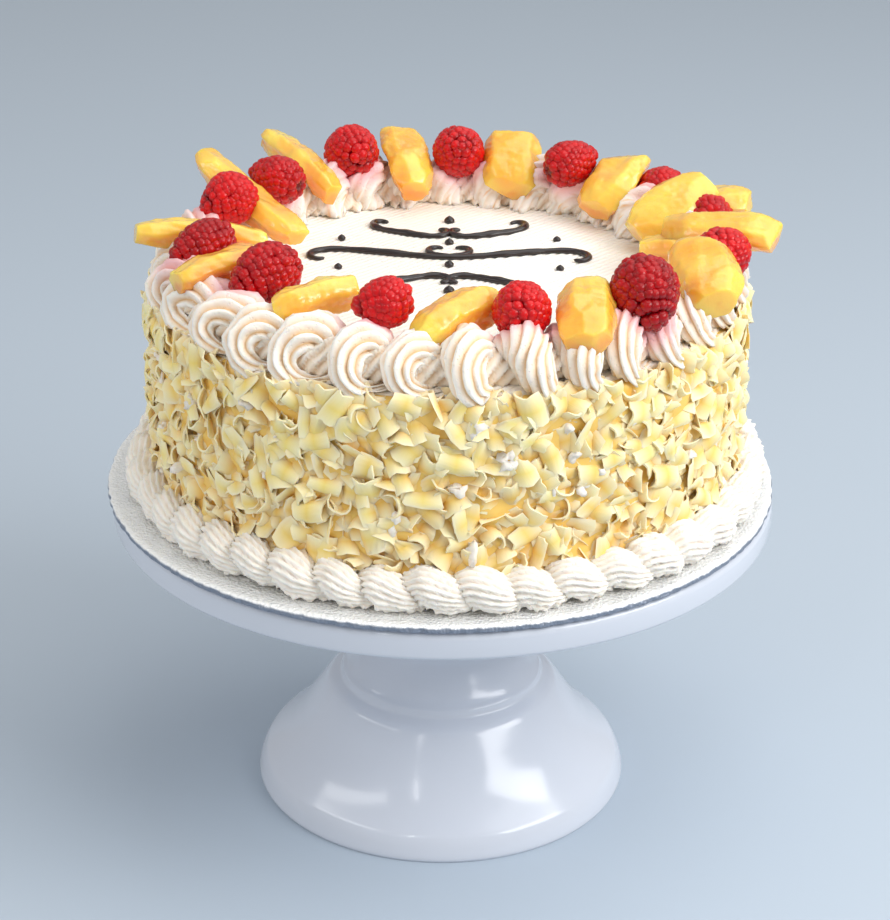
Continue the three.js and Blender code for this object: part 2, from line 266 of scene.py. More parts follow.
def whippedCream():
    # Whipped cream, piped: light scatters in it, painted shade makes its hollows peach, and juice stains it
    # pink. Tiny bubbles pit it, drawn coarser than the real ones, which would be too fine to see.
    material, tree, shader, where = startMaterial("whippedCream", {
        "Roughness": 0.45, "Subsurface Weight": 0.2, "Subsurface Radius": (1.0, 0.74, 0.5),
        "Subsurface Scale": 0.002, "Specular IOR Level": 0.4})
    bubble = addNode(tree, "TexVoronoi", "Distance", {"Vector": where, "Scale": 1 / (1.8 * mm)})
    pit = addNode(tree, "MapRange", 0, {"Value": bubble, "From Min": 0.05, "From Max": 0.3})
    lump = addNode(tree, "TexNoise", "Fac", {"Vector": where, "Scale": 1 / (3 * mm), "Detail": 4.0})
    height = addNode(tree, "Math", 0, {"operation": "MULTIPLY_ADD", 0: lump, 1: 1.5, 2: pit})
    bump = addNode(tree, "Bump", "Normal", {"Height": height, "Strength": 0.6, "Distance": 0.4 * mm})
    # painted shade: hollows and creases are mixed towards a darker peach
    hollowShade = addNode(tree, "Attribute", "Fac", {"attribute_name": "hollowShade"})
    hollowShaded = addNode(tree, "Mix", 2, {"data_type": "RGBA", 0: hollowShade, 6: "#faf6ee", 7: "#ecbf84"})
    juice = addNode(tree, "Attribute", "Fac", {"attribute_name": "juice"})
    stained = addNode(tree, "Mix", 2, {"data_type": "RGBA", 0: juice, 6: hollowShaded, 7: "#f0a6b0"})
    setNode(tree, shader, {"Normal": bump, "Base Color": stained})
    return material


def whiteChocolate():
    # White chocolate, scraped off a block: waxy, pale yellow, faint scrape lines, palest on its thin
    # edges as a painted highlight, and golden as painted shade where curls lie deep
    material, tree, shader, where = startMaterial("whiteChocolate", {
        "Roughness": 0.4, "Subsurface Weight": 0.3, "Subsurface Radius": (1.0, 0.75, 0.4),
        "Subsurface Scale": 0.0015, "Specular IOR Level": 0.25})
    # the attribute along is in millimetres
    along = addNode(tree, "Attribute", "Fac", {"attribute_name": "along"})
    scrape = addNode(tree, "TexNoise", "Fac", {
        "noise_dimensions": "1D", "W": along, "Scale": 1 / 0.7, "Detail": 2.0})
    bump = addNode(tree, "Bump", "Normal", {"Height": scrape, "Strength": 0.25, "Distance": 0.2 * mm})
    tone = addNode(tree, "Attribute", "Fac", {"attribute_name": "tone"})
    pale = addNode(tree, "Mix", 2, {"data_type": "RGBA", 0: tone, 6: "#fce78f", 7: "#f6d472"})
    # painted shade: golden where curls lie deep
    deepShade = addNode(tree, "Attribute", "Fac", {"attribute_name": "deepShade"})
    shadedGold = addNode(tree, "Mix", 2, {"data_type": "RGBA", 0: deepShade, 6: pale, 7: "#ecb24c"})
    # painted highlight: near white on the thin edges
    rim = addNode(tree, "Attribute", "Fac", {"attribute_name": "rim"})
    highlightedEdges = addNode(tree, "Mix", 2, {"data_type": "RGBA", 0: rim, 6: shadedGold, 7: "#fff8dc"})
    setNode(tree, shader, {"Normal": bump, "Base Color": highlightedEdges})
    return material


def darkChocolate():
    # Dark chocolate, piped and set: nearly black, with a soft gloss
    material, tree, shader, where = startMaterial("darkChocolate", {
        "Base Color": "#1d1110", "Roughness": 0.3, "Coat Weight": 0.4, "Coat Roughness": 0.15})
    lump = addNode(tree, "TexNoise", "Fac", {"Vector": where, "Scale": 1 / (4 * mm), "Detail": 2.0})
    bump = addNode(tree, "Bump", "Normal", {"Height": lump, "Strength": 0.3, "Distance": 0.3 * mm})
    setNode(tree, shader, {"Normal": bump})
    return material


def raspberrySkin():
    # Raspberry skin: thin, wet and clear over red pulp, darker by berry, and darker between the drupelets
    # as painted shade
    material, tree, shader, where = startMaterial("raspberrySkin", {
        "Roughness": 0.26, "Subsurface Weight": 0.25, "Subsurface Radius": (1.0, 0.08, 0.06),
        "Subsurface Scale": 0.002, "Specular IOR Level": 0.25, "Coat Weight": 0.35, "Coat Roughness": 0.06})
    grain = addNode(tree, "TexNoise", "Fac", {"Vector": where, "Scale": 1 / (0.9 * mm), "Detail": 2.0})
    bump = addNode(tree, "Bump", "Normal", {"Height": grain, "Strength": 0.3, "Distance": 0.15 * mm})
    ripe = addNode(tree, "Attribute", "Fac", {"attribute_name": "ripe"})
    skin = addNode(tree, "Mix", 2, {"data_type": "RGBA", 0: ripe, 6: "#d80a11", 7: "#92030c"})
    # painted shade between the drupelets
    hollowShade = addNode(tree, "Attribute", "Fac", {"attribute_name": "hollowShade"})
    deepShade = addNode(tree, "Mix", 2, {"data_type": "RGBA", 0: hollowShade, 6: skin, 7: "#66030c"})
    setNode(tree, shader, {"Normal": bump, "Base Color": deepShade})
    return material


def peachFlesh():
    # Canned peach: wet, clear yellow flesh with faint fibres, orange to pink on the side of the stone
    material, tree, shader, where = startMaterial("peachFlesh", {
        "Roughness": 0.26, "Subsurface Weight": 0.85, "Subsurface Radius": (1.0, 0.66, 0.16),
        "Subsurface Scale": 0.011, "Coat Weight": 0.8, "Coat Roughness": 0.07})
    # the attribute across is in millimetres
    across = addNode(tree, "Attribute", "Fac", {"attribute_name": "across"})
    fibre = addNode(tree, "TexNoise", "Fac", {
        "noise_dimensions": "1D", "W": across, "Scale": 1 / 1.3, "Detail": 2.0})
    wet = addNode(tree, "TexNoise", "Fac", {"Vector": where, "Scale": 1 / (3.5 * mm), "Detail": 3.0})
    height = addNode(tree, "Math", 0, {"operation": "MULTIPLY_ADD", 0: fibre, 1: 0.2, 2: wet})
    bump = addNode(tree, "Bump", "Normal", {"Height": height, "Strength": 0.35, "Distance": 0.8 * mm})
    blotch = addNode(tree, "TexNoise", "Fac", {"Vector": where, "Scale": 1 / (18 * mm), "Detail": 0.5})
    mottle = addNode(tree, "MapRange", 0, {"Value": blotch, "From Min": 0.25, "From Max": 0.8})
    yellow = addNode(tree, "Mix", 2, {"data_type": "RGBA", 0: mottle, 6: "#ffd860", 7: "#fbaf38"})
    stone = addNode(tree, "Attribute", "Fac", {"attribute_name": "stoneSide"})
    blush = addNode(tree, "Mix", 2, {"data_type": "RGBA", 0: stone, 6: yellow, 7: "#f0803c"})
    setNode(tree, shader, {"Normal": bump, "Base Color": blush})
    return material


camera = {"place": (0.85, -1023.05, 639.8), "down": 25.026, "roll": 0.468, "lens": 95.87, "sensor": 36.0}


def setCamera():
    # The camera stands at its place, tipped down and rolled a little about its own view
    data = bpy.data.cameras.new("camera")
    data.lens = camera["lens"]
    data.sensor_width = camera["sensor"]
    seen = bpy.data.objects.new("camera", data)
    bpy.context.scene.collection.objects.link(seen)
    tilt = Matrix.Rotation(np.radians(90 - camera["down"]), 4, "X")
    roll = Matrix.Rotation(np.radians(camera["roll"]), 4, "Z")
    seen.matrix_world = Matrix.Translation([v * mm for v in camera["place"]]) @ tilt @ roll
    bpy.context.scene.camera = seen


# Azimuth is measured from the camera's side to its right; distance, width and height are in metres, and
# two of the lamps don't show in the gloss
lamps = tableOf(
    "name azimuth elevation distance size power roll mirrored",
    ("windowRight", 62, 31.5, 1.6, (1.15, 0.44), 9, 0, True),
    ("windowLeft", -70, 38, 1.7, (1.25, 0.2), 2.8, 16, True),
    ("stripFront", -20.5, 38.5, 2.2, (0.06, 0.42), 1.0, 0, True),
    ("skyRight", 58, 42, 1.7, (1.2, 0.9), 11.5, 0, False),
    ("fillLeft", -64, 15, 2.3, (1.8, 0.6), 9, 0, False),
    ("ceiling", 100, 66, 1.8, (2.2, 2.2), 19, 0, True))
sky = {"colour": "#f1f1f1", "strength": 0.52}
lampTarget = (0, 0, 150 * mm)                         # every lamp shines at this point, in the plate


def setLight():
    # An even sky, and each lamp at its distance from the point it shines at, lifted and turned round it
    world = bpy.data.worlds.new("studio")
    world.use_nodes = True
    world.node_tree.nodes["Background"].inputs["Color"].default_value = linear(sky["colour"])
    world.node_tree.nodes["Background"].inputs["Strength"].default_value = sky["strength"]
    bpy.context.scene.world = world
    bpy.context.scene.view_settings.view_transform = "Standard"
    for lamp in lamps:
        data = bpy.data.lights.new(lamp["name"], "AREA")
        data.shape = "RECTANGLE"
        data.size, data.size_y = lamp["size"]
        data.energy = lamp["power"]
        placed = bpy.data.objects.new(lamp["name"], data)
        bpy.context.scene.collection.objects.link(placed)
        about = Matrix.Rotation(np.radians(lamp["azimuth"]), 4, "Z")
        lift = Matrix.Rotation(np.radians(90 - lamp["elevation"]), 4, "X")
        away = Matrix.Translation((0, 0, lamp["distance"]))
        tilt = Matrix.Rotation(np.radians(lamp["roll"]), 4, "Z")
        placed.matrix_world = Matrix.Translation(lampTarget) @ about @ lift @ away @ tilt
        placed.visible_glossy = lamp["mirrored"]


floor = {"halfWidth": 7000, "colour": "#b4c0cc", "roughness": 0.6}


def layFloor():
    # One flat square at height 0
    corners = np.array([[-1, -1, 0], [1, -1, 0], [1, 1, 0], [-1, 1, 0]]) * floor["halfWidth"] * mm
    mesh = bpy.data.meshes.new("floor")
    mesh.from_pydata(corners.tolist(), [], [[0, 1, 2, 3]])
    # a painted table, matt and even
    mesh.materials.append(startMaterial("paintedTable", {
        "Base Color": floor["colour"], "Roughness": floor["roughness"]})[0])
    placed = bpy.data.objects.new("floor", mesh)
    bpy.context.scene.collection.objects.link(placed)


setCamera()
setLight()
layFloor()
print("camera, light and floor set")

# each look is a material with its slot
melamine = mouldedMelamine(), "white_stand"
foil = embossedFoil(), "foil_board"
cream = whippedCream(), "whipped_cream"
curlChocolate = whiteChocolate(), "white_chocolate"
scrollChocolate = darkChocolate(), "dark_chocolate"
berrySkin = raspberrySkin(), "raspberry"
flesh = peachFlesh(), "peach"
print("materials made")


foot = {"sides": 160, "steps": 4,
        # [radius, height] from the table up: a rounded rim, a flare, a cone, a shallow valley with a step
        # inside it, the neck and the spread under the plate
        "profile": [[87.3, 0], [88, 1.2], [87.9, 2.8], [87.3, 5], [86.4, 7.6], [85.3, 9.9], [84.1, 11.7],
                    [81.8, 13.9], [77.5, 17.9], [73.6, 21.9], [70.1, 26], [67, 30], [63.3, 35.4],
                    [59.6, 41], [56.2, 46], [55.1, 47.5], [53.9, 48.9], [52.4, 50.1], [50.6, 51.2],
                    [48.9, 52.2], [48.1, 53], [47.6, 54.2], [47.2, 55.6], [46.6, 56.4], [45.2, 57.7],
                    [43.6, 59.7], [42, 62.2], [40.4, 65], [38.8, 67.8], [37.4, 70.4], [36.3, 73.2],
                    [35.6, 76.5], [35.2, 81], [35, 95], [35.6, 115], [38, 124], [43.5, 131], [51, 137],
                    [59.7, 141.5]]}


def makeFoot():
    # The profile, smoothed, is turned round the upright axis
    profile = smoothLine(foot["profile"], foot["steps"])
    part = closedTubes(lathe(profile, foot["sides"])[None])
    makePiece("foot", part, melamine, ["stand_foot"], sharpAngle=50)


plate = {"sides": 240, "radius": 151.3, "bottom": 141.8, "top": 154.8,
         # radii of its lower and upper corners
         "lower": 2.2, "upper": 3.6, "steps": 8}


def makePlate():
    # A disc, turned from a profile whose two corners are quarter circles
    radius, lower, upper = plate["radius"], plate["lower"], plate["upper"]
    profile = np.concatenate([
        [[radius * 0.5, plate["bottom"]]],
        cornerArc(radius - lower, plate["bottom"] + lower, lower, -90, 0, plate["steps"]),
        cornerArc(radius - upper, plate["top"] - upper, upper, 0, 90, plate["steps"]),
        [[radius * 0.5, plate["top"]]]])
    part = closedTubes(lathe(profile, plate["sides"])[None])
    makePiece("plate", part, melamine, ["stand_plate"], sharpAngle=50)


board = {"sides": 900, "x": -1.2, "radius": 152.2, "thickness": 2.9, "round": 0.9,
         # the creases of its edge: depth, how far they may stand out, size and the width that they cover
         "crease": 0.3, "creaseMost": 0.2, "creaseSize": 5, "creaseWide": 4, "seed": 3}


def makeBoard():
    # A lathed disc whose edge is creased: ripples move it in and out, most on the edge itself
    low, high, radius, bend = boardTop - board["thickness"], boardTop, board["radius"], board["round"]
    rings = np.concatenate([
        [[radius * 0.6, low]], cornerArc(radius - bend, low + bend, bend, -90, 0, 4),
        [[radius, (low + high) / 2]], cornerArc(radius - bend, high - bend, bend, 0, 90, 4),
        [[radius - 4, high], [radius - 12, high], [radius * 0.6, high]]])
    grid = lathe(rings, board["sides"], board["x"])
    nearEdge = np.clip(1 - (radius - rings[:, 0]) / board["creaseWide"], 0, 1)[:, None]
    crease = ripples(grid, board["creaseSize"], board["seed"]) * board["crease"] * nearEdge
    outward = (grid - [board["x"], 0, 0]) * [1, 1, 0]
    grid = grid + unit(outward) * np.minimum(crease, board["creaseMost"])[..., None]
    # what is under the upper corner gets the painted shade of the edge, and the corner itself gets the
    # painted highlight of the fold
    edgeShade = np.clip((high - 0.35 - rings[:, 1]) / 0.25, 0, 1)
    foldHighlight = np.exp(-((rings[:, 1] - high + 0.1) / 0.25) ** 2) * (rings[:, 0] > radius - 2)
    values = {"edgeShade": capped(np.repeat(edgeShade, board["sides"]), caps=(1, 0)),
              "foldHighlight": capped(np.repeat(foldHighlight, board["sides"]))}
    makePiece("foilBoard", closedTubes(grid[None]), foil, ["cake_board"], values, sharpAngle=60)


makeFoot()
makePlate()
makeBoard()
print("stand and board made")


core = {"sides": 240, "radius": 131, "rows": 40, "round": 3, "below": 2.2,
        # ripples over its wall: height, size and seed
        "uneven": ((0.54, 14, 4), (0.36, 6, 14))}


def makeCore():
    # The wall that the curls stick to: a lathed cylinder, a little uneven, coloured deep gold as painted
    # shade between the curls
    low, high, radius, bend = boardTop + gap, cakeTop - core["below"], core["radius"], core["round"]
    wall = np.stack([np.full(core["rows"], float(radius)), np.linspace(low, high - bend, core["rows"])], 1)
    profile = np.concatenate([[[radius * 0.7, low]], wall,
                              cornerArc(radius - bend, high - bend, bend, 15, 90, 6),
                              [[radius * 0.9, high], [radius * 0.5, high]]])
    grid = lathe(profile, core["sides"], cakeX)
    onWall = (profile[:, 0] > radius - 1)[:, None]
    outward = unit((grid - [cakeX, 0, 0]) * [1, 1, 0])
    grid += outward * (roughness(grid, *core["uneven"]) * onWall)[..., None]
    part = closedTubes(grid[None])
    makePiece("curlBed", part, curlChocolate, ["cake_body"],
              {"deepShade": 0.6, "tone": 0, "along": part[0][:, 2], "rim": 0}, sharpAngle=60)


dab = {"count": 90, "size": (1.5, 3.2), "rows": 6, "sides": 10, "seed": 5,
       # their ripples, as a share of their size, and how long they are
       "ripple": 0.42, "rippleSize": 3.5}


def makeDabs():
    # Cream that shows between the curls: uneven balls half sunk in the wall
    random = np.random.default_rng(dab["seed"])
    count = dab["count"]
    polar = (np.arange(dab["rows"]) + 0.6)[:, None] / (dab["rows"] + 0.2) * np.pi
    a = circle(dab["sides"])
    ball = np.stack([np.sin(polar) * np.cos(a), np.sin(polar) * np.sin(a), -np.cos(polar) + 0 * a], -1)
    size = random.uniform(*dab["size"], (count, 1, 1, 1)) * random.uniform(0.6, 1.4, (count, 1, 1, 3))
    dabs = ball[None] * size
    apart = 50.0 * np.arange(count)[:, None, None, None]
    dabs *= (1 + dab["ripple"] * ripples(dabs + apart, dab["rippleSize"], 15))[..., None]
    middle = np.stack([random.uniform(core["radius"], core["radius"] + 2, count), np.zeros(count),
                       random.uniform(boardTop + 14, cakeTop - 4, count)], -1)
    about = rotations(2, random.uniform(0, turn, count))
    dabs = np.einsum("nij,nabj->nabi", about, dabs + middle[:, None, None])
    dabs[..., 0] += cakeX
    # a little painted shade all over
    makePiece("creamDabs", closedTubes(dabs), cream, ["cake_body"], {"hollowShade": 0.12, "juice": 0})


comb = {"spacing": 3.0, "depth": 0.8, "angle": -45, "radius": 127.5, "thick": 2.4,
        # points across each ridge and along them, the power that rounds them, how far the rim drops
        "across": 8, "along": 24, "power": 0.6, "rim": 1.4,
        # how much painted shade the grooves get, and the height and size of the top's own unevenness
        "grooveShade": 0.2, "uneven": 0.25, "unevenSize": 60}


def makeTop():
    # A disc whose columns follow the comb's lines: across them a wave of rounded ridges, along them
    # chords of the circle. A thin wall and a flat underside close it.
    columns = int(2 * comb["radius"] / comb["spacing"] * comb["across"] / 2) * 2 + 1
    rows = comb["along"]
    u = np.linspace(-1, 1, columns)
    v = np.linspace(-1, 1, rows)
    across = comb["radius"] * np.sin(u * np.pi / 2 * 0.998)
    chord = np.sqrt(comb["radius"] ** 2 - across ** 2)
    x = across[None, :] * np.ones((rows, 1))
    y = v[:, None] * chord[None, :]
    wander = 0.5 * np.sin(y / 31 + 1) + 0.35 * np.sin(y / 17 + x / 60)
    strength = comb["depth"] * (0.75 + 0.25 * np.sin(x / 23 + y / 41))
    wave = np.abs(np.cos(np.pi * (x + wander) / comb["spacing"])) ** comb["power"]
    height = strength * wave - comb["depth"]
    # painted shade in the comb's grooves
    groove = np.clip(-height / comb["depth"], 0, 1) ** 1.5 * comb["grooveShade"]
    height += comb["uneven"] * ripples(np.stack([x, y, 0 * x], -1), comb["unevenSize"], 6)
    height = np.where((np.abs(v) > 0.999)[:, None], -comb["rim"], height)
    a = np.radians(comb["angle"])
    top = np.stack([cakeX + x * np.cos(a) - y * np.sin(a), x * np.sin(a) + y * np.cos(a),
                    cakeTop + height], -1)
    bottom = top.copy()
    bottom[..., 2] = cakeTop - comb["thick"]
    faces = gridFaces(rows, columns, wrap=False)
    size = rows * columns
    rim = np.concatenate([np.arange(columns), np.arange(1, rows) * columns + columns - 1,
                          (rows - 1) * columns + np.arange(columns - 2, -1, -1),
                          np.arange(rows - 2, 0, -1) * columns])
    beside = np.roll(rim, -1)
    wall = np.stack([rim, rim + size, beside + size, beside], 1)
    points = np.concatenate([top.reshape(-1, 3), bottom.reshape(-1, 3)])
    makePiece("combedTop", (points, [faces, faces[:, ::-1] + size, wall]), cream, ["cake_body"],
              {"hollowShade": np.tile(groove.ravel(), 2), "juice": 0}, sharpAngle=60)


curls = {"sheet": 0.85, "low": 160, "high": 252.5, "wall": 131.2, "seed": 21, "rows": 3,
         # how much painted highlight pales their thin edges, and two irrational shares, of the heights and
         # of the circle, by which they go on from one to the next
         "rim": 0.7, "heightStep": 0.7548777, "angleStep": 0.5698403}
# Ranges: arc in degrees, radius, length and how far the outermost point stands off the wall. Then how
# much the arc may taper along a curl, its spiral, how far it may be spun, tilted and twisted in radians,
# how slanted its ends are, and how much wider one end is.
curlKinds = tableOf(
    "name count arc radius length arcSteps out taper spiral spin tilt twist slant flare",
    ("curlRolls", 380, (210, 330), (3.4, 5.6), (11, 16), 10, (3.6, 5.6), 0.15, (0.1, 0.35), 3.14, 1.2, 0.3,
     0.25, 0.18),
    ("curlHalves", 540, (150, 225), (5.4, 7.4), (11, 15.5), 10, (3.2, 5.4), 0.22, (-0.35, 0.35), 1.7, 0.8,
     0.3, 0.22, 0.2),
    ("curlShards", 160, (90, 140), (6.5, 8.5), (9, 13), 8, (2.8, 4.8), 0.5, (-0.3, 0.3), 0.8, 0.5, 0.4,
     0.4, 0.25),
    ("curlUnder", 1300, (90, 160), (5, 7.5), (11, 16), 6, (0.8, 2.6), 0.4, (-0.2, 0.2), 0.5, 0.3, 0.4,
     0.3, 0.2))


def makeCurls(kind, order):
    # Each curl is a sheet rolled on a cone through part of a turn: the point at angle a and height h is
    # (r cos a, r sin a, h) with r growing along h, the angle twisted and tapered along h, and slanted
    # ends. Its thickness runs out towards the two long edges.
    random = np.random.default_rng(curls["seed"] + order)
    count, steps = kind["count"], kind["arcSteps"]

    def draw(low, high):
        return random.uniform(low, high, (count, 1, 1))

    def swing(key):
        return draw(-kind[key], kind[key])

    arc, radius, length = np.radians(draw(*kind["arc"])), draw(*kind["radius"]), draw(*kind["length"])
    taper, spiral = swing("taper"), draw(*kind["spiral"])
    u = np.linspace(-1, 1, steps + 1)[None, None, :]
    v = np.sin(np.linspace(-1, 1, curls["rows"]) * 1.35)[None, :, None] / np.sin(1.35)
    start = draw(0, turn)
    # the sines make all its edges wavy
    height = v * (1 + swing("slant") * u / 2) * (1 - 0.1 * u ** 6) + swing("slant") * u / 2
    height = length / 2 * (height + (0.07 * np.sin(5 * u + start) + 0.03 * np.sin(11 * u + 2 * start)) * v)
    r = radius * (1 + swing("flare") * v + spiral * u + 0.05 * np.sin(3 * u + start) - 0.06 * v ** 2
                  + 0.05 * np.sin(7 * u + 3 * start) * v)
    angle = arc / 2 * u * (1 + taper * v) * (1 - 0.05 * v ** 6) / (1 + np.abs(taper)) + swing("twist") * v
    inside = r - curls["sheet"] * (1 - 0.75 * np.abs(u) ** 3)
    outer = np.stack(np.broadcast_arrays(r * np.cos(angle), r * np.sin(angle), height), -1)
    inner = np.stack(np.broadcast_arrays(inside * np.cos(angle), inside * np.sin(angle), height), -1)
    loop = np.concatenate([outer, inner[:, :, ::-1]], 2)
    turned = (rotations(0, draw(0, turn).ravel()) @ rotations(1, swing("tilt").ravel())
              @ rotations(2, swing("spin").ravel()))
    loop = np.einsum("nij,nabj->nabi", turned, loop)
    loop -= loop.max((1, 2), keepdims=True) * [1, 0, 0] + loop.mean((1, 2), keepdims=True) * [0, 1, 1]
    loop[..., 0] += curls["wall"] + draw(*kind["out"])
    # evenly spread over the wall, and kept clear of its ends
    many = np.arange(count) + 0.5
    reach = np.abs(loop[..., 2]).max((1, 2))
    share = (many * curls["heightStep"] + 0.21 * order) % 1
    high = curls["low"] + (curls["high"] - curls["low"]) * share
    high = np.clip(high, curls["low"] + reach * 0.6, curls["high"] - reach * 0.9)
    loop[..., 2] += high[:, None, None]
    about = rotations(2, turn * ((many * curls["angleStep"] + 0.37 * order) % 1))
    loop = np.einsum("nij,nabj->nabi", about, loop)
    loop[..., 0] += cakeX
    rows, columns = loop.shape[1:3]
    half = np.arange(steps)
    startCap = np.stack([half + 1, half, columns - 1 - half, columns - 2 - half], 1)
    endCap = startCap[:, ::-1] + (rows - 1) * columns
    faces = repeatFaces(np.concatenate([gridFaces(rows, columns), startCap, endCap]), count, rows * columns)
    # golden as painted shade near the wall, where curls lie deep, and golden towards the foot too; palest
    # on the sheet's edges as a painted highlight
    points = loop.reshape(-1, 3)
    deepShade = np.clip((curls["wall"] + 3 - fromAxis(points - [cakeX, 0, 0])) / 3, 0, 1) * 0.8
    deepShade += 0.4 * ((cakeTop - points[:, 2]) / (cakeTop - boardTop)) ** 2
    tone = np.repeat(random.uniform(0, 1, count), rows * columns)
    both = np.concatenate([u, u[..., ::-1]], -1)
    flat = 0 * loop[..., 0]
    scrape = both * arc / 2 * radius + 40 * start + flat
    rim = curls["rim"] * np.maximum(np.abs(both) ** 5, np.abs(v) ** 3) + flat
    makePiece(kind["name"], (points, [faces]), curlChocolate, ["cake_body"],
              {"deepShade": np.clip(deepShade, 0, 1), "tone": tone, "along": scrape, "rim": rim}, sharpAngle=38)


scroll = {"x": 2, "radius": 1.75, "height": 0.8, "sides": 14, "steps": 90, "lift": 0.5}
# The right-hand half: the power of its turning, middle, heading, length and how tightly its ends curl
scrolls = tableOf(
    "power x y heading length curl",
    (3, 21, 59, 22, 62, 4.3),
    (4, 27, 32, 194, 104, -4.6),
    (3, 19, -1, -25, 58, -4.3))
dropShape = {"rings": 9, "sides": 16, "flat": 0.75, "tip": 0.25, "lift": 0.3}
drops = [[0, 77, 2.6], [0, 47, 2.2], [0, 18, 2.2], [0, -15, 2.6], [50, 14, 1.9], [50, 52, 1.9]]


def makeScroll(stroke, side):
    # A strand along a line whose heading turns with a power of the way from its middle; side mirrors it
    steps = scroll["steps"]
    share = (np.arange(2 * steps) + 0.5) / steps - 1
    heading = np.radians(stroke["heading"]) + stroke["curl"] * share ** stroke["power"]
    step = np.stack([np.cos(heading), np.sin(heading)], 1) * stroke["length"] / (2 * steps)
    line = np.cumsum(step, 0)
    line += [stroke["x"], stroke["y"]] - line[steps - 1]
    line = line[::2] * [side, 1] + [scroll["x"], 0]
    way = np.linspace(-1, 1, len(line))
    ahead = unit(np.gradient(line, axis=0))
    left = np.stack([-ahead[:, 1], ahead[:, 0]], 1)
    # the strand's radius wavers, and it runs out at both ends
    thick = 1 + 0.12 * np.sin(way * 9 + stroke["x"]) + 0.06 * np.sin(way * 23 + stroke["y"])
    thick *= scroll["radius"]
    thick *= np.sqrt(np.clip(1 - np.abs(way) ** 40, 0.02, 1)) * (1.15 - 0.4 * way ** 2)
    a = circle(scroll["sides"])
    flat = line[:, None, :] + left[:, None, :] * (thick[:, None] * np.cos(a))[..., None]
    height = cakeTop + scroll["lift"] + scroll["height"] * thick[:, None] * np.sin(a)
    return closedTubes(np.concatenate([flat, height[..., None]], -1)[None])


def makeDrop(x, y, radius):
    # A flattened ball sunk in the cream, with a small tip where the bag was pulled off
    polar = np.linspace(0.02, 0.98, dropShape["rings"])[:, None] * np.pi
    a = circle(dropShape["sides"])
    tip = dropShape["tip"] * np.exp(-((np.pi - polar) / 0.4) ** 2)
    point = [scroll["x"] + x + radius * np.sin(polar) * np.cos(a), y + radius * np.sin(polar) * np.sin(a),
             cakeTop + dropShape["lift"] - radius * (dropShape["flat"] * np.cos(polar) - tip) + 0 * a]
    return closedTubes(np.stack(point, -1)[None])


def makeOrnament():
    # Each scroll and its mirror image, and the drops on the middle line and on both sides of it
    strokes = [makeScroll(stroke, side) for stroke in scrolls for side in (1, -1)]
    dots = [makeDrop(side * x, y, radius) for x, y, radius in drops for side in ((1, -1) if x else (1,))]
    makePiece("chocolateScrolls", joinParts(*strokes, *dots), scrollChocolate, ["cake_body"], sharpAngle=70)


makeCore()
makeDabs()
makeTop()
for order, kind in enumerate(curlKinds):
    makeCurls(kind, order)
makeOrnament()
print("cake made")


rope = {"loops": 33, "steps": 36, "seed": 31,
        # the star tip's ridges: their number, depth and lean; and how much wider than high the strand is
        "lobes": 10, "perLobe": 6, "groove": 0.28, "lean": 0.82, "wide": 1.05,
        # the ring of the loops' middles, the strand's radius and how much thicker it is at a loop's top
        "middle": 118.6, "centre": 255, "radius": 8, "top": 0.26,
        # half a loop's height up the slope, how late it swings sideways, how far it sags over the curls
        "rise": 10, "behind": 0.5, "sag": 12.0,
        # half its width along the ring, how far its left side stands before its right one, and the slope
        # it lies on in degrees, in most places and where the loops are pressed together and upright
        "shear": (10.5, 3), "depth": (6.5, 9.5), "slope": (38, 10),
        # where that is, in degrees from the front to the right, and how wide
        "pressedAt": 20, "pressedWide": 22,
        # how uneven the loops are, as shares of a loop or of each measure
        "loose": {"shear": 0.3, "depth": 0.2, "rise": 0.16, "radius": 0.06, "along": 0.13, "groove": 0.3}}
# The strand inside the loops
ropeCore = {"perLoop": 24, "middle": 114.5, "height": 5.5, "radius": 10.2, "lobes": 8, "perLobe": 5,
            "lean": 0.82, "twist": 4.0, "groove": 0.24}
# The juice round every raspberry
stain = {"reach": 5.5, "strength": 0.75}
# Middle, the way the tip points, length, width, and how ripe it is, from bright to dark
raspberries = tableOf(
    "at tip length width ripe",
    ((-24.8, -96, 277), (-1, -0.15, -0.1), 26, 20.5, 0.25),
    ((31, -101, 276), (-0.3, -0.9, 0.25), 25, 23.5, 0.2),
    ((82.6, -85, 277.5), (0.25, -0.75, -0.6), 34, 28, 0.8),
    ((119.4, -25, 273.5), (-0.5, -0.3, 0.5), 26, 24, 0.3),
    ((103, 76, 268.5), (0.8, 0.5, 0.1), 26, 21, 0.4),
    ((59.5, 91.5, 276), (0.85, 0.45, 0.25), 28, 21, 0.5),
    ((6.4, 108, 276), (0.1, -0.6, 0.35), 25, 24, 0.3),
    ((-44.5, 104, 276), (0.35, -0.7, 0.15), 27, 25.5, 0.35),
    ((-79, 69, 274), (-0.85, 0.4, 0.15), 28, 22, 0.5),
    ((-98.8, 35.5, 275.5), (-0.75, -0.45, -0.15), 28, 24, 0.2),
    ((-104.8, -24, 274.5), (-0.85, -0.45, -0.25), 31, 21, 0.8),
    ((-76, -57, 274), (-0.75, -0.5, -0.25), 34, 25, 0.65),
    ((122, 42, 267), (0.6, 0.7, 0), 23, 20, 0.4))


def ridges(shape, turned=0):
    # Along each ridge of a star tip's strand, from 0 in the crease behind it: a slow rise, a sharp crest
    # at 1, and a steep drop into the next crease
    lean = shape["lean"]
    w = (np.arange(shape["lobes"] * shape["perLobe"]) / shape["perLobe"] + turned) % 1
    rise = np.sin(w / lean * 1.25) / np.sin(1.25)
    return np.where(w < lean, rise, (1 - np.minimum((w - lean) / (1 - lean), 1)) ** 1.5)


def sweep(line, side, up, radius, star):
    # A section carried along a line: a point is line + radius * star * (cos a * up + sin a * side)
    a = circle(star.shape[-1])
    spokes = np.cos(a)[:, None] * up[..., None, :] + np.sin(a)[:, None] * side[..., None, :]
    return line[..., None, :] + (radius * star)[..., None] * spokes


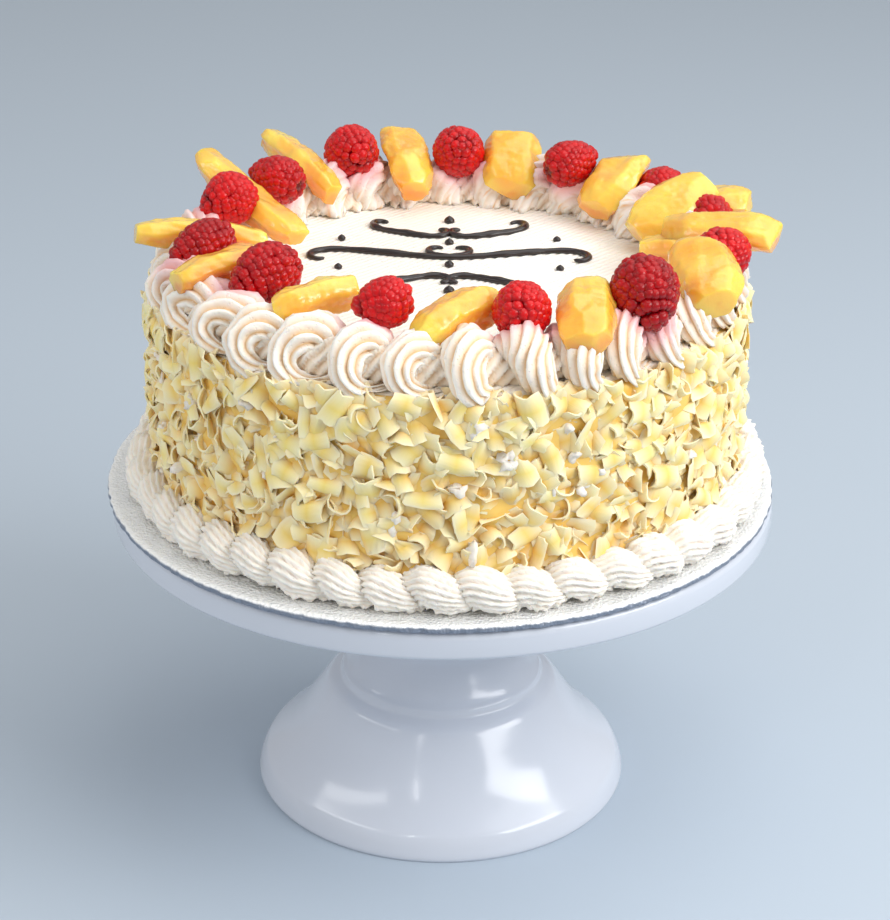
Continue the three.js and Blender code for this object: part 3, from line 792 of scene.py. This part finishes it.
def berryStain(points):
    # How much juice each point has: most on the nearest raspberry's skin, and none far from it
    nearest = np.full(points.shape[:-1], 1e9)
    for one in raspberries:
        offset = points - np.array(one["at"])
        axis = unit(np.array(one["tip"], float))
        along = offset @ axis
        beside = np.linalg.norm(offset - along[..., None] * axis, axis=-1)
        size = np.hypot(along / (one["length"] / 2), beside / (one["width"] / 2))
        nearest = np.minimum(nearest, (size - 1) * one["width"] / 2)
    return stain["strength"] * np.exp(-(np.clip(nearest, 0, None) / stain["reach"]) ** 2)


def smearedBy(points, seed):
    # How far the foot of the rope's inner side is drawn in towards the middle of the top
    inside = np.clip((rope["middle"] - 4 - fromAxis(points)) / 8, 0, 1)
    low = np.clip((cakeTop + 6 - points[..., 2]) / 6, 0, 1) * inside
    return unit(points * [1, 1, 0]) * (low * (3.5 + 2 * ripples(points, 13, seed)))[..., None]


def makeRope():
    # The piping tip runs in loops round the top edge, which lie on a slope: at phase p the strand's
    # middle stands rise * sin p up the slope, shear * cos p to the left and depth * cos p before it. The
    # star tip gives the ridges.
    loops, steps = rope["loops"], rope["steps"]
    loop = np.arange(loops * steps + 1) / steps
    phase = -turn * loop
    knots = np.random.default_rng(rope["seed"]).uniform(-1, 1, (len(rope["loose"]), loops + 1))
    knots[:, -1] = knots[:, 0]
    drift = {key: 1 + most * np.interp(loop, np.arange(loops + 1), row)
             for (key, most), row in zip(rope["loose"].items(), knots)}
    pressed = np.exp(-((loop / loops * 360 - 180 - rope["pressedAt"]) / rope["pressedWide"]) ** 2)

    def shaped(key):
        usual, there = rope[key]
        return usual + pressed * (there - usual)

    depth = shaped("depth") * drift["depth"] * np.cos(phase)
    rise = rope["rise"] * drift["rise"] * np.sin(phase)
    radius = rope["radius"] * (drift["radius"] + rope["top"] * np.sin(phase))
    shear = shaped("shear") * drift["shear"] * np.cos(phase + rope["behind"])
    swung = drift["along"] - 1 - shear * loops / (turn * rope["middle"])
    angle = turn * (loop + swung) / loops + turn / 4
    slope = np.radians(shaped("slope"))
    r = rope["middle"] - np.sin(slope) * rise + np.cos(slope) * depth
    line = np.stack([r * np.cos(angle), r * np.sin(angle),
                     rope["centre"] + np.cos(slope) * rise + np.sin(slope) * depth], -1)
    ahead = np.gradient(line, axis=0)
    ahead[[0, -1]] = line[1] - line[-2]
    ahead = unit(ahead)
    away = np.stack([np.cos(angle), np.sin(angle), 0 * angle], -1)
    toRight = np.stack([-np.sin(angle), np.cos(angle), 0 * angle], -1)
    upSlope = np.cos(slope)[:, None] * [0, 0, 1] - np.sin(slope)[:, None] * away
    up = squareTo(ahead, upSlope * np.sin(phase)[:, None] - toRight * np.cos(phase)[:, None])
    side = np.cross(ahead, up) * rope["wide"]
    crest = ridges(rope)
    # the ridges are shallower where the loops are pressed, and on the inner side, which is uneven instead
    plain = sweep(line, side, up, radius[:, None], np.ones_like(crest))
    inside = np.clip((rope["middle"] - 3 - fromAxis(plain)) / 9, 0, 1)
    groove = rope["groove"] * (drift["groove"] * (1 - 0.35 * pressed))[:, None] * (1 - 0.6 * inside)
    grid = sweep(line, side, up, radius[:, None], 1 - groove * (1 - crest))
    uneven = roughness(grid, (0.45 + 0.6 * inside, 10, 8), (0.22, 4, 9), (0.1, 1.8, 11))
    grid = movedOut(grid, line[:, None], uneven)
    # inside it is smeared on to the top; it lies there, and sags a little over the curls outside it
    grid -= smearedBy(grid, 20)
    outside = np.clip((fromAxis(grid) - core["radius"]) / 3, 0, 1)
    lowest = cakeTop - 0.2 + 0.15 * ripples(grid, 6, 10) - rope["sag"] * outside
    grid[..., 2] = np.maximum(grid[..., 2], lowest)
    grid[..., 0] += cakeX
    part = closedTubes(grid[None])
    # painted shade: darker creases between the ridges, less on the inner side, and painted shade in small
    # pinholes there
    pinholeShade = np.clip(ripples(grid, 4, 17) * 2 - 3.2, 0, 1) * inside
    hollowShade = np.clip((1 - crest) ** 1.5 * 0.95 * (1 - 0.65 * inside) + pinholeShade, 0, 1)
    makePiece("topRope", part, cream, ["top_border"],
              {"hollowShade": capped(hollowShade), "juice": berryStain(part[0])})


def makeRopeCore():
    # A twisted strand through all the loops, which closes the gaps between them
    loop = np.arange(rope["loops"] * ropeCore["perLoop"] + 1) / ropeCore["perLoop"]
    angle = turn * loop / rope["loops"]
    out = np.stack([np.cos(angle), np.sin(angle), 0 * angle], -1)
    line = out * ropeCore["middle"] + [0, 0, cakeTop + ropeCore["height"]]
    up = np.array([0, 0, 1.0]) * np.ones_like(line)
    crest = ridges(ropeCore, ropeCore["twist"] * loop[:, None])
    radius = ropeCore["radius"] * (1 + 0.06 * np.sin(turn * loop))[:, None]
    grid = sweep(line, out, up, radius, 1 - ropeCore["groove"] * (1 - crest))
    grid = movedOut(grid, line[:, None], roughness(grid, (0.4, 9, 18), (0.1, 3, 19)))
    grid -= smearedBy(grid, 21)
    grid[..., 2] = np.maximum(grid[..., 2], cakeTop - 0.2)
    grid[..., 0] += cakeX
    part = closedTubes(grid[None])
    # painted shade in the creases between its ridges, and a little everywhere
    makePiece("ropeCore", part, cream, ["top_border"],
              {"hollowShade": capped((1 - crest) ** 2 * 0.6 + 0.15), "juice": berryStain(part[0])})


shells = {"count": 43, "steps": 27, "lobes": 17, "perLobe": 4, "groove": 0.21, "lean": 0.75, "teeth": 6,
          "seed": 41, "outward": (-0.3, 0.75, 0.65),
          # how unlike each other they are: the twist in radians, stretch, thickness, sway and bend
          "twist": (0.7, 1.3), "stretch": (0.93, 1.05), "thick": (0.9, 1.05), "sway": (1.3, 0.5, 0.5),
          "bend": (2.0, 1.0, 0.8),
          # from the cake's wall to the tail on the board: along the ring, outwards, up, and the radius
          "knots": [[-9, 1, 7.2, 6.4], [-6.5, 3, 9, 8.6], [-2.5, 5, 10.2, 9.5], [2, 6.6, 9, 9.2],
                    [6.5, 7.4, 6.8, 8], [11, 7, 4.8, 5.9], [15, 6, 3.4, 3.8], [18, 5, 2.4, 1.8]]}


def makeShells():
    # Each shell is a ridged strand that leaves the wall with a toothed end, swells over to the right and
    # curls back under itself on the board
    count, steps = shells["count"], shells["steps"]
    random = np.random.default_rng(shells["seed"])
    fine = smoothLine(shells["knots"], 8)
    pick = np.linspace(0, len(fine) - 1, steps)
    low = np.minimum(pick.astype(int), len(fine) - 2)
    fine = fine[low] + (pick - low)[:, None] * (fine[low + 1] - fine[low])
    share = np.linspace(0, 1, steps)[None, :, None]
    bend = random.uniform(-1, 1, (count, 1, 3)) * shells["bend"] * share
    bend = bend + random.uniform(-1, 1, (count, 1, 3)) * shells["sway"]
    path = fine[None, :, :3] * random.uniform(*shells["stretch"], (count, 1, 3)) + bend
    radius = fine[None, :, 3:] * random.uniform(*shells["thick"], (count, 1, 1))
    ahead = unit(np.gradient(path, axis=1))
    up = squareTo(ahead, shells["outward"] * np.ones_like(path))
    side = np.cross(up, ahead)
    turned = shells["lobes"] / turn * random.uniform(*shells["twist"], (count, 1, 1)) * share
    crest = ridges(shells, turned + random.uniform(0, 1, (count, 1, 1)))
    grid = sweep(path, side, up, radius, 1 - shells["groove"] * (1 - crest))
    tooth = shells["teeth"] * (crest ** 2 - 0.3) * np.clip(1 - share * 5, 0, 1) ** 2
    grid -= ahead[:, :, None] * tooth[..., None]
    # uneven, most where it spreads on the board
    apart = 70.0 * np.arange(count)[:, None, None, None]
    low = np.clip(1 - (grid[..., 2] - 1) / 4, 0, 1)
    uneven = roughness(grid + apart, (0.35, 8, 12), (0.2 + 0.5 * low, 3, 13), (0.12, 1.6, 16))
    grid = movedOut(grid, path[:, :, None], uneven)
    # bent round the cake, the first coordinate running along the ring
    angle = grid[..., 0] / (core["radius"] + 8) + circle(count)[:, None, None]
    r = core["radius"] + np.maximum(grid[..., 1], -2.0)
    z = boardTop + gap + np.maximum(grid[..., 2], 0)
    grid = np.stack([cakeX + r * np.cos(angle), r * np.sin(angle), z], -1)
    # painted shade in the creases between the ridges
    makePiece("baseShells", closedTubes(grid), cream, ["base_border"],
              {"hollowShade": capped((1 - crest) ** 2 * 0.35, count), "juice": 0})


makeRope()
makeRopeCore()
makeShells()
print("piped cream made")


berry = {"rows": 9, "size": 3.4, "inset": 0.78, "swell": 0.92, "shoulder": 0.82, "fullness": 0.62,
         "round": 10, "rings": 5, "coreRings": 14, "coreRound": 20, "seed": 51}


def alongFrame(direction, roll=0.0):
    # Rows are the directions of a frame whose X runs along the given one, turned about it by roll degrees
    x = unit(np.array(direction, float))
    y = unit(np.cross([0, 0, 1], x))
    z = np.cross(x, y)
    a = np.radians(roll)
    return np.stack([x, np.cos(a) * y + np.sin(a) * z, np.cos(a) * z - np.sin(a) * y])


def makeRaspberry(number, one):
    # Drupelets are small ellipsoids in staggered rows on a blunt cone, whose radius at t from 0 to 1 is
    # width/2 * sin(pi t^shoulder)^fullness
    random = np.random.default_rng(berry["seed"] + number)
    length, width = one["length"], one["width"]
    inset = berry["size"] * berry["inset"]

    def profile(t):
        return width / 2 * np.sin(np.pi * np.clip(t, 0, 1) ** berry["shoulder"]) ** berry["fullness"]

    # seats: how far along and at what angle each drupelet is, and its size
    rowT = (np.arange(berry["rows"]) + 0.55) / (berry["rows"] + 0.1)
    rowT = rowT + 0.02 * np.sin(turn * rowT)
    seats, sizes = [], []
    for i, t in enumerate(rowT):
        around = max(3, int(round(turn * (profile(t) - inset * 0.6) / (berry["size"] * 0.97))))
        a = turn * (np.arange(around) + 0.5 * (i % 2)) / around + random.normal(0, 0.05, around)
        seats.append(np.stack([np.full(around, t) + random.normal(0, 0.01, around), a], 1))
        sizes.append(np.full(around, min(1.0, turn * profile(t) / around / berry["size"])))
    seats = np.concatenate(seats + [[[0.995, 0.0]]])
    sizes = np.concatenate(sizes + [[0.9]]) * random.uniform(0.92, 1.1, len(seats))
    t, a = seats.T
    slope = (profile(t + 0.01) - profile(t - 0.01)) / (0.02 * length)
    out = unit(np.stack([-slope, np.cos(a), np.sin(a)], 1))
    out[-1] = [1, 0, 0]
    sideways = np.stack([0 * a, -np.sin(a), np.cos(a)], 1)
    radius = profile(t)
    radius[-1] = 0
    centre = np.stack([length * (t - 0.5), radius * np.cos(a), radius * np.sin(a)], 1) - out * inset
    # each drupelet is a ball whose poles point in and out
    polar = ((np.arange(berry["rings"]) + 0.6) / (berry["rings"] + 0.2) * np.pi)[:, None]
    b = circle(berry["round"])
    ball = np.stack([-1.08 * np.cos(polar) + 0 * b, np.sin(polar) * np.cos(b),
                     -np.sin(polar) * np.sin(b)], -1)
    axes = np.stack([out, sideways, np.cross(sideways, out)], 1)
    half = (berry["size"] * berry["swell"] * sizes)[:, None, None, None]
    drupelets = closedTubes(centre[:, None, None] + np.einsum("rci,nij->nrcj", ball, axes) * half)
    # the pulp inside them
    coreT = np.linspace(0.015, 0.985, berry["coreRings"])
    c = circle(berry["coreRound"])
    coreR = np.maximum(profile(coreT) - inset * 0.9, 0.4)[:, None]
    coreX = length * (coreT[:, None] - 0.5) * 0.94
    pulp = np.stack([coreX + 0 * c, coreR * np.cos(c), coreR * np.sin(c)], -1)
    points, faces = joinParts(drupelets, closedTubes(pulp[None]))
    points[:, 1] += 0.06 * random.uniform(-1, 1) * points[:, 0] ** 2 / 10
    # how far each point lies under the berry's outer surface, which sets its painted shade
    under = profile(points[:, 0] / length + 0.5) - np.hypot(points[:, 1], points[:, 2])
    points = points @ alongFrame(one["tip"], random.uniform(0, 360)) + one["at"]
    ripe = one["ripe"] + 0.12 * ripples(points, 9, 60 + number)
    makePiece(f"raspberry{number:02d}", (points, faces), berrySkin, [f"raspberry_{number:02d}"],
              {"ripe": np.clip(ripe, 0, 1), "hollowShade": np.clip((under - 0.2) / 1.6, 0, 1)})


slices = {"along": 44, "taper": 0.26, "belly": 0.05, "overshoot": 0.06, "lumps": 0.4, "grain": 0.13,
          "cuts": 4, "cutTo": (0.78, 0.93),
          # section: shares across the thickness and up the width, and how much rounds off each corner
          "section": [[-0.5, 0.05], [-0.3, 0.42], [0.3, 0.42], [0.5, 0.05], [0.2, -0.5], [-0.2, -0.5]],
          "corners": (0.07, 0.25, 0.25, 0.25), "round": 54,
          # the rounded rim of a cut end: scale of the section, and how far it stands out
          "rim": [[0.98, 0.25], [0.94, 0.4], [0.8, 0.45], [0.5, 0.5], [0.2, 0.5]]}
# The middles of the inner and outer ends, width up the slice, thickness, roll, bow, and the blushed side
peaches = tableOf(
    "inner outer width thick roll bow blush",
    ((-35, -71, 275), (-71, -90, 271), 17, 15, 10, 2, 0.2),
    ((19, -84, 275), (-10, -110, 268), 21, 20, 20, 2, 0.3),
    ((59, -80, 278), (56.5, -117, 269.5), 22, 26, -8, 1, 0.5),
    ((107, -34, 279), (113.5, -70, 270), 20, 30, 12, 1, 0.3),
    ((88, 12, 262), (118, -4, 268), 13, 20, 0, 0, 0.3),
    ((88, 40, 262), (119, 54, 278), 16, 30, 12, 1, 0.3),
    ((99, 13, 273), (146, -16, 279), 14, 24, 15, 2, 0.5),
    ((112, 62, 267), (138, 50, 271), 14, 24, 0, 0, 0.1),
    ((71, 68, 263), (88, 92, 277), 18, 30, -10, 1, 0.6),
    ((32, 94, 263), (32, 122, 279), 19, 30, -6, 1, 0.4),
    ((-14, 92, 263), (-23, 127, 279), 18, 25, 14, 1, 0.5),
    ((-53, 80, 265), (-85, 122, 278), 15, 17, 20, 1, 0.4),
    ((-68, 20, 262), (-113, 77, 279), 16, 20, 10, -3, 0.3),
    ((-77, 4, 268), (-134, -9, 277), 14, 17, 8, 2, 0.3),
    ((-72, -28, 275), (-112, -55, 272), 14, 20, 12, 2, 0.7))


def roundedSection():
    # The section's polygon with its corners cut off again and again, at even steps along it
    points = np.array(slices["section"][::-1])
    for share in slices["corners"]:
        ahead = np.roll(points, -1, 0)
        step = share * (ahead - points)
        points = np.stack([points + step, ahead - step], 1).reshape(-1, 2)
    closed = np.concatenate([points, points[:1]])
    way = np.concatenate([[0], np.cumsum(np.linalg.norm(np.diff(closed, axis=0), axis=1))])
    even = np.arange(slices["round"]) / slices["round"] * way[-1]
    return np.stack([np.interp(even, way, closed[:, 0]), np.interp(even, way, closed[:, 1])], -1)


def makePeach(number, one):
    # A bowed wedge with cut ends: at t from -1 to 1 its section is scaled by 1 - taper t^4 - belly t^2
    # and lowered by bow t^2. A few flat knife cuts take off its corners.
    random = np.random.default_rng(500 + number)
    inner, outer = np.array(one["inner"], float), np.array(one["outer"], float)
    half = np.linalg.norm(outer - inner) / 2 + slices["overshoot"] * one["thick"]
    rim = np.array(slices["rim"])
    t = np.linspace(-1, 1, slices["along"])
    scale = 1 - slices["taper"] * t ** 4 - slices["belly"] * t ** 2
    x = half * t
    x = np.concatenate([x[0] - rim[::-1, 1], x, x[-1] + rim[:, 1]])[:, None]
    scale = np.concatenate([scale[0] * rim[::-1, 0], scale, scale[-1] * rim[:, 0]])[:, None]
    across, up = roundedSection().T[:, None, :]
    local = np.stack([x + 0 * up, across * scale * one["thick"],
                      up * scale * one["width"] - one["bow"] * (x / half) ** 2], -1)
    seen = local + 100.0 * number
    centre = local.mean(1, keepdims=True)
    lumps = ripples(seen, 15, 70 + number) + 0.35 * ripples(seen * [0.4, 1, 1], 3.5, 90 + number)
    local = movedOut(local, centre, slices["lumps"] * lumps)
    facing = unit(random.normal(size=(slices["cuts"], 3)) * [0.9, 1.0, 0.9] + [0, 0, 0.3])
    reach = (local @ facing.T).max((0, 1)) * random.uniform(*slices["cutTo"], slices["cuts"])
    for normal, limit in zip(facing, reach):
        local = local - normal * 0.97 * np.clip(local @ normal - limit, 0, None)[..., None]
    local = movedOut(local, centre, slices["grain"] * ripples(seen, 3, 130 + number))
    world = local @ alongFrame(outer - inner, one["roll"]) + (inner + outer) / 2
    stone = np.clip(0.55 - up * 1.5 + 0.35 * ripples(seen, 18, 110 + number), 0, 1) * one["blush"]
    values = {"stoneSide": capped(stone, caps=(one["blush"] / 2, one["blush"] / 2)),
              "across": capped(local[..., 1] + 50 * number)}
    makePiece(f"peach{number:02d}", closedTubes(world[None]), flesh, [f"peach_{number:02d}"], values,
              sharpAngle=50)


for number, one in enumerate(raspberries, 1):
    makeRaspberry(number, one)
for number, one in enumerate(peaches, 1):
    makePeach(number, one)
print("fruit made")
